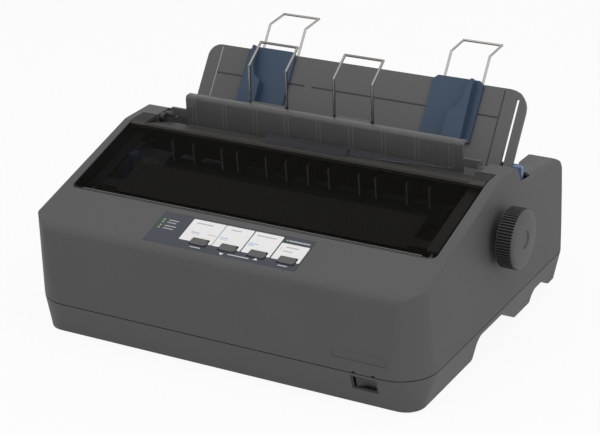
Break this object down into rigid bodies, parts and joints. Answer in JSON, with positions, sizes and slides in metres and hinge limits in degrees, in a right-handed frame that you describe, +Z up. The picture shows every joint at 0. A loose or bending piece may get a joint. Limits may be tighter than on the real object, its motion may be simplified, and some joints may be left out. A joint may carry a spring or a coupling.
{
  "type": "dot matrix printer",
  "caption": "Desktop dot matrix printer with a hinged smoke cover, platen knob, tipping sheet separator, folding paper tray with edge guides, wire supports and a tractor feed.",
  "frame": {"origin": "on the desk under the feet, at the middle of the whole outline in plan", "axes": "+X to the printer's right with the platen knob, +Y to the back, +Z up"},
  "size_m": [0.3662, 0.3007, 0.1972],
  "materials": {
    "case_grey": "fine matt texture",
    "smoke_cover": "dark smoke, clear",
    "smoke_panel": "light smoke, translucent",
    "inner_black": "matt",
    "feet_rubber": "matt",
    "platen_rubber": "ground",
    "plated": "zinc plated",
    "rod_steel": "ground",
    "wire_chrome": "polished",
    "gear_white": "satin",
    "pinion_brass": "machined",
    "guide_blue": "fine matt texture",
    "lever_blue": "satin",
    "key_grey": "satin",
    "panel_sheet": "printed sheet",
    "lamp_lens": "clear",
    "board_green": "lacquered board",
    "board_tan": "paper board",
    "head_cast": "cast, dark",
    "belt_rubber": "toothed belt"
  },
  "bodies": {
    "case": {"lower_case": "case_grey", "upper_case": "case_grey", "rubber_feet": "feet_rubber", "case_screws": "plated", "side_frame_left": "plated", "side_frame_right": "plated", "carriage_rod": "rod_steel", "carriage_rail": "plated", "platen_bushes": "gear_white", "main_board": "board_green", "power_board": "board_tan", "carriage_motor": "plated", "feed_motor": "plated", "timing_belt": "belt_rubber", "panel_overlay": "panel_sheet", "led_lenses": "lamp_lens", "ribbon_cartridge": "inner_black", "switch_housing": "inner_black", "power_inlet": "inner_black", "data_connectors": "plated", "exit_guide": "inner_black", "front_shield": "inner_black", "tractor_rod": "rod_steel"},
    "platen": {"platen_roller": "platen_rubber", "platen_shaft": "rod_steel", "platen_gear": "gear_white", "platen_knob": "case_grey"},
    "idler": {"idler_gear": "gear_white"},
    "pinion": {"motor_pinion": "pinion_brass"},
    "tractor_drive": {"tractor_shaft": "rod_steel", "tractor_gear": "gear_white"},
    "left_tractor": {"tractor_left": "inner_black"},
    "right_tractor": {"tractor_right": "inner_black"},
    "left_sprocket": {"sprocket_left": "gear_white"},
    "right_sprocket": {"sprocket_right": "gear_white"},
    "left_pin_cover": {"pin_cover_left": "guide_blue"},
    "right_pin_cover": {"pin_cover_right": "guide_blue"},
    "left_lock": {"lock_lever_left": "lever_blue"},
    "right_lock": {"lock_lever_right": "lever_blue"},
    "head_carriage": {"carriage": "inner_black", "print_head": "head_cast"},
    "drive_pulley": {"motor_pulley": "gear_white"},
    "free_pulley": {"idler_pulley": "gear_white"},
    "winder": {"ribbon_winder": "lever_blue"},
    "gap_lever": {"head_gap_lever": "lever_blue"},
    "paper_lever": {"release_lever": "lever_blue"},
    "key_1": {"button_1": "key_grey"},
    "key_2": {"button_2": "key_grey"},
    "key_3": {"button_3": "key_grey"},
    "key_4": {"button_4": "key_grey"},
    "rocker": {"power_rocker": "inner_black"},
    "cover": {"printer_cover": "smoke_cover"},
    "separator": {"sheet_separator": "smoke_panel"},
    "left_front_wire": {"front_wire_left": "wire_chrome"},
    "middle_front_wire": {"front_wire_middle": "wire_chrome"},
    "tray": {"paper_tray": "smoke_panel"},
    "left_guide": {"edge_guide_left": "guide_blue"},
    "right_guide": {"edge_guide_right": "guide_blue"},
    "left_rear_wire": {"rear_wire_left": "wire_chrome"},
    "right_rear_wire": {"rear_wire_right": "wire_chrome"}
  },
  "joints": [
    {"name": "platen_turn", "type": "hinge", "parent": "case", "child": "platen", "pos_m": [-0.0091, -0.00595, 0.0921], "axis": [1, 0, 0], "continuous": true},
    {"name": "idler_turn", "type": "hinge", "parent": "case", "child": "idler", "pos_m": [-0.1661, 0.04164, 0.08583], "axis": [1, 0, 0], "continuous": true},
    {"name": "pinion_turn", "type": "hinge", "parent": "case", "child": "pinion", "pos_m": [-0.1661, 0.04164, 0.05083], "axis": [1, 0, 0], "continuous": true},
    {"name": "tractor_drive_turn", "type": "hinge", "parent": "case", "child": "tractor_drive", "pos_m": [-0.0091, 0.08923, 0.07957], "axis": [1, 0, 0], "continuous": true},
    {"name": "left_tractor_slide", "type": "slide", "parent": "case", "child": "left_tractor", "axis": [1, 0, 0], "range_m": [-0.014, 0.04]},
    {"name": "right_tractor_slide", "type": "slide", "parent": "case", "child": "right_tractor", "axis": [1, 0, 0], "range_m": [-0.04, 0.014]},
    {"name": "left_sprocket_turn", "type": "hinge", "parent": "left_tractor", "child": "left_sprocket", "pos_m": [-0.1211, 0.08923, 0.07957], "axis": [1, 0, 0], "continuous": true},
    {"name": "right_sprocket_turn", "type": "hinge", "parent": "right_tractor", "child": "right_sprocket", "pos_m": [0.1029, 0.08923, 0.07957], "axis": [1, 0, 0], "continuous": true},
    {"name": "left_pin_cover_lift", "type": "hinge", "parent": "left_tractor", "child": "left_pin_cover", "pos_m": [-0.1311, 0.08923, 0.09157], "axis": [0, 1, 0], "range_deg": [-80, 0]},
    {"name": "right_pin_cover_lift", "type": "hinge", "parent": "right_tractor", "child": "right_pin_cover", "pos_m": [0.1129, 0.08923, 0.09157], "axis": [0, -1, 0], "range_deg": [-80, 0]},
    {"name": "left_lock_swing", "type": "hinge", "parent": "left_tractor", "child": "left_lock", "pos_m": [-0.1321, 0.07223, 0.07357], "axis": [1, 0, 0], "range_deg": [0, 40]},
    {"name": "right_lock_swing", "type": "hinge", "parent": "right_tractor", "child": "right_lock", "pos_m": [0.1139, 0.07223, 0.07357], "axis": [1, 0, 0], "range_deg": [0, 40]},
    {"name": "carriage_travel", "type": "slide", "parent": "case", "child": "head_carriage", "axis": [1, 0, 0], "range_m": [-0.004, 0.196]},
    {"name": "drive_pulley_turn", "type": "hinge", "parent": "case", "child": "drive_pulley", "pos_m": [0.1229, -0.05435, 0.0625], "axis": [0, 0, 1], "range_deg": [-40, 1490]},
    {"name": "free_pulley_turn", "type": "hinge", "parent": "case", "child": "free_pulley", "pos_m": [-0.1411, -0.05435, 0.0625], "axis": [0, 0, 1], "range_deg": [-40, 1490]},
    {"name": "ribbon_winder_turn", "type": "hinge", "parent": "case", "child": "winder", "pos_m": [-0.1191, -0.07635, 0.0995], "axis": [0, 0, 1], "continuous": true},
    {"name": "head_gap_swing", "type": "hinge", "parent": "case", "child": "gap_lever", "pos_m": [-0.1571, -0.04035, 0.0935], "axis": [1, 0, 0], "range_deg": [-15, 20]},
    {"name": "paper_lever_swing", "type": "hinge", "parent": "case", "child": "paper_lever", "pos_m": [0.1509, 0.05565, 0.0915], "axis": [-1, 0, 0], "range_deg": [0, 10]},
    {"name": "key_1_press", "type": "slide", "parent": "case", "child": "key_1", "axis": [0, -0.2756, 0.9613], "range_m": [-0.0008, 0], "stiffness_N_per_m": 250},
    {"name": "key_2_press", "type": "slide", "parent": "case", "child": "key_2", "axis": [0, -0.2756, 0.9613], "range_m": [-0.0008, 0], "stiffness_N_per_m": 250},
    {"name": "key_3_press", "type": "slide", "parent": "case", "child": "key_3", "axis": [0, -0.2756, 0.9613], "range_m": [-0.0008, 0], "stiffness_N_per_m": 250},
    {"name": "key_4_press", "type": "slide", "parent": "case", "child": "key_4", "axis": [0, -0.2756, 0.9613], "range_m": [-0.0008, 0], "stiffness_N_per_m": 250},
    {"name": "power_switch", "type": "hinge", "parent": "case", "child": "rocker", "pos_m": [0.1179, -0.13986, 0.02333], "axis": [0, 0.262, -0.9651], "range_deg": [0, 14]},
    {"name": "cover_lift", "type": "hinge", "parent": "case", "child": "cover", "pos_m": [-0.0091, 0.01365, 0.131], "axis": [-1, 0, 0], "range_deg": [0, 70]},
    {"name": "separator_tip", "type": "hinge", "parent": "case", "child": "separator", "pos_m": [-0.0091, 0.02225, 0.1319], "axis": [-1, 0, 0], "range_deg": [-60, 0]},
    {"name": "left_front_wire_fold", "type": "hinge", "parent": "separator", "child": "left_front_wire", "pos_m": [-0.0619, 0.03205, 0.1493], "axis": [-1, 0, 0], "range_deg": [0, 45]},
    {"name": "middle_front_wire_fold", "type": "hinge", "parent": "separator", "child": "middle_front_wire", "pos_m": [0.0166, 0.03205, 0.1493], "axis": [-1, 0, 0], "range_deg": [0, 45]},
    {"name": "tray_fold", "type": "hinge", "parent": "case", "child": "tray", "pos_m": [-0.0091, 0.06265, 0.1115], "axis": [-1, 0, 0], "range_deg": [0, 33]},
    {"name": "left_guide_slide", "type": "slide", "parent": "tray", "child": "left_guide", "axis": [1, 0, 0], "range_m": [-0.018, 0.03]},
    {"name": "right_guide_slide", "type": "slide", "parent": "tray", "child": "right_guide", "axis": [1, 0, 0], "range_m": [-0.03, 0.018]},
    {"name": "left_rear_wire_fold", "type": "hinge", "parent": "left_guide", "child": "left_rear_wire", "pos_m": [-0.0951, 0.10663, 0.15976], "axis": [-1, 0, 0], "range_deg": [0, 60]},
    {"name": "right_rear_wire_fold", "type": "hinge", "parent": "right_guide", "child": "right_rear_wire", "pos_m": [0.0769, 0.10663, 0.15976], "axis": [-1, 0, 0], "range_deg": [0, 60]}
  ],
  "couplings": [
    {"joint": "idler_turn", "follows": "platen_turn", "ratio": -0.71429},
    {"joint": "pinion_turn", "follows": "platen_turn", "ratio": 2.8571},
    {"joint": "tractor_drive_turn", "follows": "platen_turn", "ratio": 1},
    {"joint": "left_sprocket_turn", "follows": "platen_turn", "ratio": 1},
    {"joint": "right_sprocket_turn", "follows": "platen_turn", "ratio": 1},
    {"joint": "drive_pulley_turn", "follows": "carriage_travel", "rad_per_m": 131.58},
    {"joint": "free_pulley_turn", "follows": "carriage_travel", "rad_per_m": 131.58}
  ]
}
